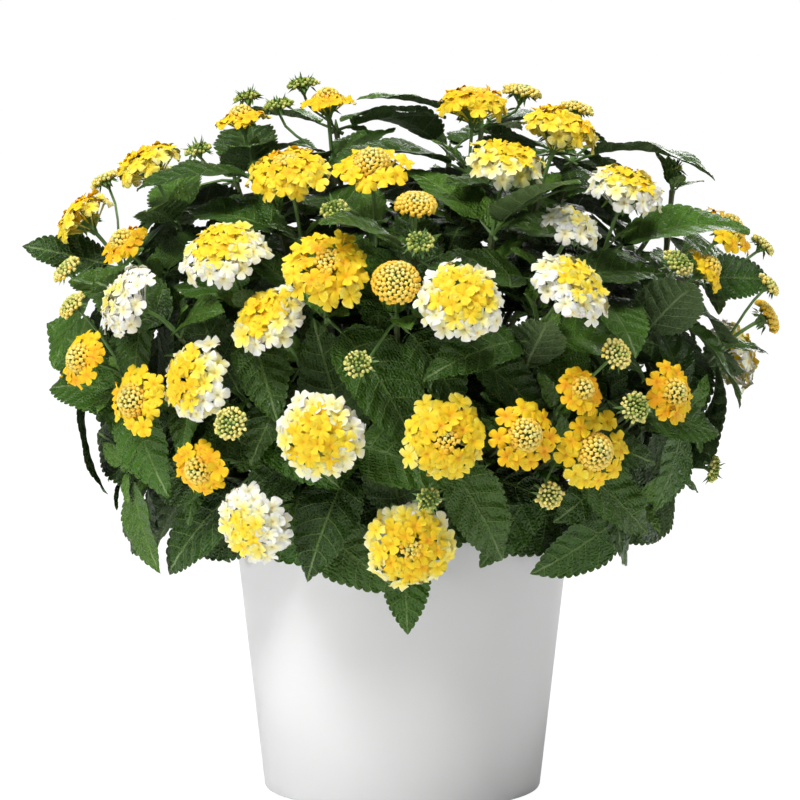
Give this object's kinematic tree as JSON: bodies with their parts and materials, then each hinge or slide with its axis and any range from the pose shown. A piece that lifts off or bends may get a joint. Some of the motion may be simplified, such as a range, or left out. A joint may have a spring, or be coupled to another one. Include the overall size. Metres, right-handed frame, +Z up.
{
  "type": "potted lantana",
  "caption": "Bushy lantana in bloom in a plain tapered white pot: toothed green leaves, round clusters of small yellow to cream flowers and green bud clusters.",
  "frame": {"origin": "middle of the pot's flat base, on the surface that the pot stands on", "axes": "+Z up along the pot's axis; -Y towards the viewer's side of the plant; +X to that viewer's right"},
  "size_m": [0.3613, 0.3258, 0.3531],
  "materials": {
    "pot": "smooth satin white pot",
    "soil": "loose dark potting soil with bark crumbs",
    "foliage": "dark green veined leaves with a soft gloss, on lighter green stalks",
    "petal_yellow": "matt deep yellow petals round orange yellow buds",
    "petal_lemon": "matt yellow petals that pale to cream at the rim of the head",
    "petal_cream": "matt cream petals with a little yellow in the middle of the head"
  },
  "bodies": {
    "root": {"pot": "pot", "soil": "soil", "flower_head_01": "petal_yellow", "flower_head_02": "petal_yellow", "flower_head_03": "petal_yellow", "flower_head_04": "petal_yellow", "flower_head_05": "petal_yellow", "flower_head_06": "petal_yellow", "flower_head_07": "petal_yellow", "flower_head_08": "petal_yellow", "flower_head_09": "petal_lemon", "flower_head_10": "petal_lemon", "flower_head_11": "petal_cream", "flower_head_12": "petal_lemon", "flower_head_13": "petal_lemon", "flower_head_14": "petal_yellow", "flower_head_15": "petal_cream", "flower_head_16": "petal_lemon", "flower_head_17": "petal_lemon", "flower_head_18": "petal_yellow", "flower_head_19": "petal_yellow", "flower_head_20": "petal_yellow", "flower_head_21": "petal_yellow", "flower_head_22": "petal_yellow", "flower_head_23": "petal_lemon", "flower_head_24": "petal_lemon", "flower_head_25": "petal_cream", "flower_head_26": "petal_yellow", "flower_head_27": "petal_lemon", "flower_head_28": "petal_yellow", "flower_head_29": "petal_yellow", "flower_head_30": "petal_yellow", "flower_head_31": "petal_yellow", "flower_head_32": "petal_yellow", "flower_head_33": "petal_yellow", "flower_head_34": "petal_yellow", "flower_head_35": "petal_yellow", "flower_head_36": "petal_yellow", "flower_head_37": "petal_lemon", "flower_head_38": "petal_lemon", "flower_head_39": "petal_lemon", "flower_head_40": "petal_yellow", "flower_head_41": "petal_lemon", "flower_head_42": "petal_lemon", "flower_head_43": "petal_yellow", "flower_head_44": "petal_yellow", "flower_head_45": "petal_yellow", "flower_head_46": "petal_yellow", "leafy_stem_01": "foliage", "leafy_stem_02": "foliage", "leafy_stem_03": "foliage", "leafy_stem_04": "foliage", "leafy_stem_05": "foliage", "leafy_stem_06": "foliage", "leafy_stem_07": "foliage", "leafy_stem_08": "foliage", "leafy_stem_09": "foliage", "leafy_stem_10": "foliage", "leafy_stem_11": "foliage", "leafy_stem_12": "foliage"}
  },
  "joints": []
}
